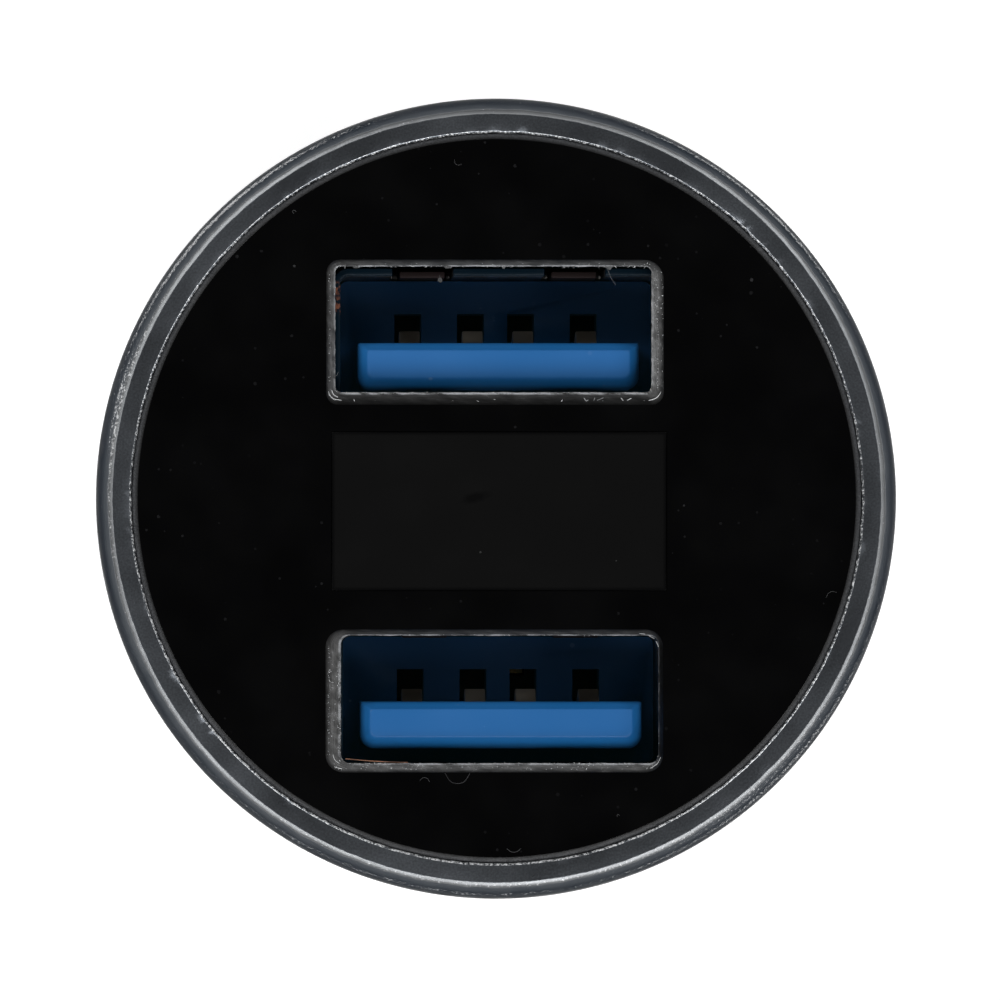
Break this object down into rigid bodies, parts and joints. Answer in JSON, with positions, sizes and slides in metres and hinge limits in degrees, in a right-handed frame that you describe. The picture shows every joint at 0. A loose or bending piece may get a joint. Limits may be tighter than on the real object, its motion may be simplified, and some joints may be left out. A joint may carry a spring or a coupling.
{
  "type": "usb car charger",
  "caption": "Round-headed usb car charger: metal head with a glossy black face, usb-A ports with blue tongues and a smoked window, on a lighter-socket plug with sprung contacts.",
  "frame": {"origin": "on the axis of the charger, where the plug meets the underside of the head", "axes": "+Z along the axis from the tip of the plug to the face with the ports; +Y from the lower port to the upper one; +X to the right as the face is looked at"},
  "size_m": [0.0314, 0.0314, 0.0696],
  "materials": {
    "shell_metal": "anodised gunmetal, satin, worn bright at its edges",
    "gloss_black": "high gloss, grey at the cut edges of the port holes",
    "window_black": "smoked, glossy",
    "matt_black": "fine moulded texture",
    "adhesive": "thin adhesive sheet",
    "board": "green solder mask on glass laminate",
    "tinned_steel": "tin plated sheet",
    "blue_plastic": "satin blue moulding",
    "nickel": "nickel plate",
    "brass": "plain brass",
    "copper": "enamelled copper wire",
    "ferrite": "dark ferrite",
    "can_sleeve": "sleeved can",
    "tan_ceramic": "fired ceramic",
    "red_wire": "insulated wire"
  },
  "bodies": {
    "charger": {"head_shell": "shell_metal", "face_plate": "gloss_black", "display_window": "window_black", "face_adhesive": "adhesive", "face_carrier": "matt_black", "display_module": "window_black", "display_pins": "nickel", "port_board": "board", "port_chip": "matt_black", "usb_shell_upper": "tinned_steel", "usb_shell_lower": "tinned_steel", "usb_insert_upper": "blue_plastic", "usb_insert_lower": "blue_plastic", "usb_contacts_upper": "nickel", "usb_contacts_lower": "nickel", "power_board": "board", "board_pins": "brass", "inductor_core": "ferrite", "inductor_winding": "copper", "input_capacitor": "can_sleeve", "output_capacitor": "can_sleeve", "converter_chip": "matt_black", "rectifier_diode": "matt_black", "chip_capacitors": "tan_ceramic", "chip_resistors": "matt_black", "board_fuse": "tan_ceramic", "plug_barrel": "matt_black", "nose_cap": "matt_black", "pin_spring": "tinned_steel", "spring_seat": "brass", "positive_wire": "red_wire", "ground_wires": "matt_black"},
    "centre_pin": {"centre_pin": "nickel"},
    "side_contact_left": {"side_contact_left": "tinned_steel"},
    "side_contact_right": {"side_contact_right": "tinned_steel"}
  },
  "joints": [
    {"name": "centre_pin_press", "type": "slide", "parent": "charger", "child": "centre_pin", "axis": [0, 0, 1], "range_m": [0, 0.003], "stiffness_N_per_m": 1500, "springref_m": -0.001, "deforming": ["pin_spring"]},
    {"name": "side_contact_left_press", "type": "slide", "parent": "charger", "child": "side_contact_left", "axis": [1, 0, 0], "range_m": [0, 0.0011], "stiffness_N_per_m": 3000, "springref_m": -0.0003},
    {"name": "side_contact_right_press", "type": "slide", "parent": "charger", "child": "side_contact_right", "axis": [-1, 0, 0], "range_m": [0, 0.0011], "stiffness_N_per_m": 3000, "springref_m": -0.0003}
  ]
}
